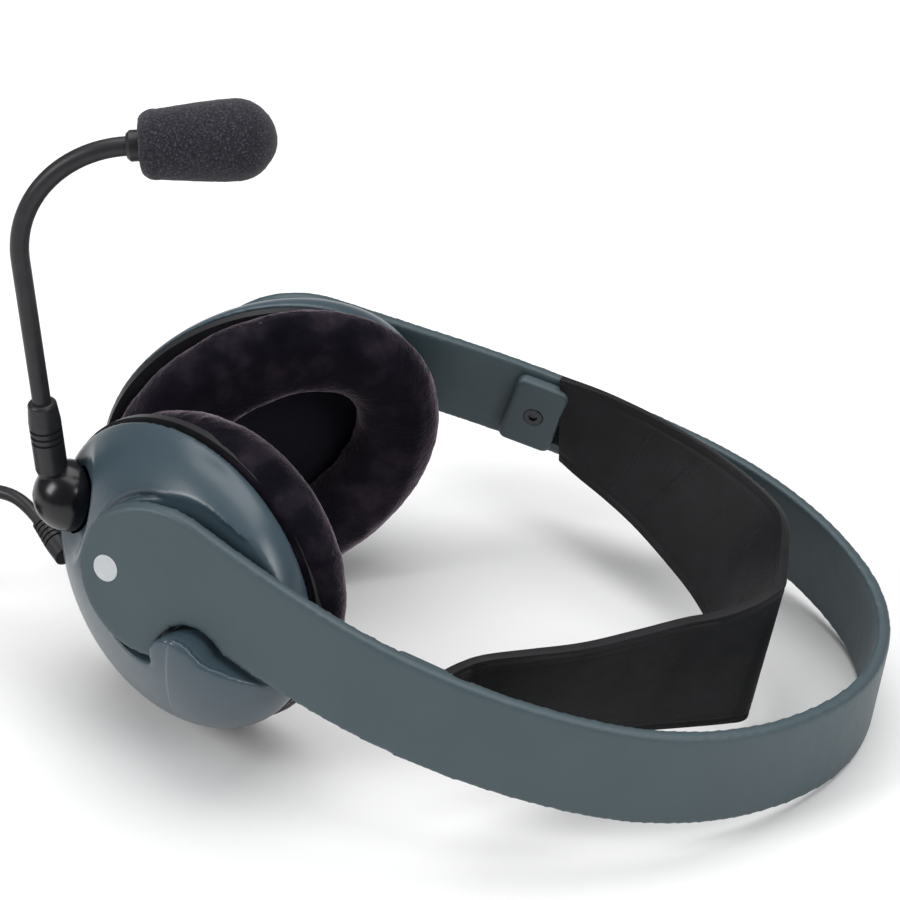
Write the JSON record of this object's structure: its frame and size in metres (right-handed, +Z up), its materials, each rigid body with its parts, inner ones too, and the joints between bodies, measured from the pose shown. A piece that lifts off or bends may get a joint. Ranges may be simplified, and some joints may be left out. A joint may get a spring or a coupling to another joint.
{
  "type": "communication headset",
  "caption": "Lightweight over-ear communication headset: one-piece headband hoop, inner head strap, tilting oval ear cups, swivelling gooseneck boom microphone and cord with a jack plug.",
  "frame": {"origin": "centre of the headset's bounding box, without its cord, on the table that it lies on", "axes": "+Z up from the table, +X towards the crown of the headband, +Y towards the right ear; the left ear cup with the boom is at -Y"},
  "size_m": [0.3373, 0.1761, 0.1604],
  "materials": {
    "blue_grey_plastic": "satin",
    "black_plastic": "satin",
    "gloss_black_plastic": "gloss",
    "black_leatherette": "satin",
    "plum_velour": "matte",
    "black_elastic": "matte",
    "driver_cloth": "matte",
    "grey_foam": "matte",
    "black_rubber": "satin",
    "nickel": "polished",
    "black_steel": "satin",
    "steel": "satin",
    "copper_cable": "satin",
    "membrane": "gloss",
    "insulator": "satin"
  },
  "bodies": {
    "headband": {"headband": "blue_grey_plastic", "headband_cable": "copper_cable", "right_pivot_stud": "steel", "left_pivot_stud": "steel", "right_strap_cover": "blue_grey_plastic", "left_strap_cover": "blue_grey_plastic", "strap_cover_screws": "black_steel", "right_elastic": "black_elastic", "left_elastic": "black_elastic", "head_strap": "black_leatherette"},
    "left_bush": {"left_pivot_bush": "black_plastic"},
    "left_cup": {"left_shell": "blue_grey_plastic", "left_baffle": "black_plastic", "left_pad_ring": "black_plastic", "left_cup_screws": "steel", "left_driver_frame": "black_plastic", "left_driver_magnet": "steel", "left_driver_diaphragm": "membrane", "left_damping_foam": "grey_foam", "left_driver_cloth": "driver_cloth", "left_pad_skirt": "black_leatherette", "left_pad": "plum_velour", "left_pivot_retainer": "black_plastic", "strain_relief": "black_rubber", "cord_lead": "black_rubber", "cord_coil": "black_rubber", "cord_tail": "black_rubber", "plug_boot": "black_rubber", "plug_handle": "black_plastic", "plug_sleeve": "nickel", "plug_breaks": "insulator", "plug_rings": "nickel", "plug_tip": "nickel"},
    "boom": {"boom_ball": "gloss_black_plastic", "boom_pivot_pin": "steel", "boom_grip": "black_plastic", "gooseneck": "black_rubber", "mic_collar": "black_plastic", "mic_housing": "black_plastic", "mic_capsule": "nickel", "windscreen": "grey_foam"},
    "right_bush": {"right_pivot_bush": "black_plastic"},
    "right_cup": {"right_shell": "blue_grey_plastic", "right_baffle": "black_plastic", "right_pad_ring": "black_plastic", "right_cup_screws": "steel", "right_driver_frame": "black_plastic", "right_driver_magnet": "steel", "right_driver_diaphragm": "membrane", "right_damping_foam": "grey_foam", "right_driver_cloth": "driver_cloth", "right_pad_skirt": "black_leatherette", "right_pad": "plum_velour", "right_pivot_retainer": "black_plastic"}
  },
  "joints": [
    {"name": "left_cup_yaw", "type": "hinge", "parent": "headband", "child": "left_bush", "pos_m": [-0.05831, -0.04559, 0.05574], "axis": [0.045, 0.0943, 0.9945], "range_deg": [-1.5, 8]},
    {"name": "left_cup_pitch", "type": "hinge", "parent": "left_bush", "child": "left_cup", "pos_m": [-0.05831, -0.04559, 0.05574], "axis": [0.9026, -0.4305, 0], "range_deg": [-3, 3]},
    {"name": "right_cup_yaw", "type": "hinge", "parent": "headband", "child": "right_bush", "pos_m": [-0.05831, 0.04559, 0.05574], "axis": [-0.045, 0.0943, -0.9945], "range_deg": [-1.5, 8]},
    {"name": "right_cup_pitch", "type": "hinge", "parent": "right_bush", "child": "right_cup", "pos_m": [-0.05831, 0.04559, 0.05574], "axis": [-0.9026, -0.4305, 0], "range_deg": [-3, 3]},
    {"name": "boom_swivel", "type": "hinge", "parent": "left_cup", "child": "boom", "pos_m": [-0.09126, -0.02339, 0.05774], "axis": [-0.6104, -0.6991, 0.3724], "range_deg": [-45, 90]}
  ]
}
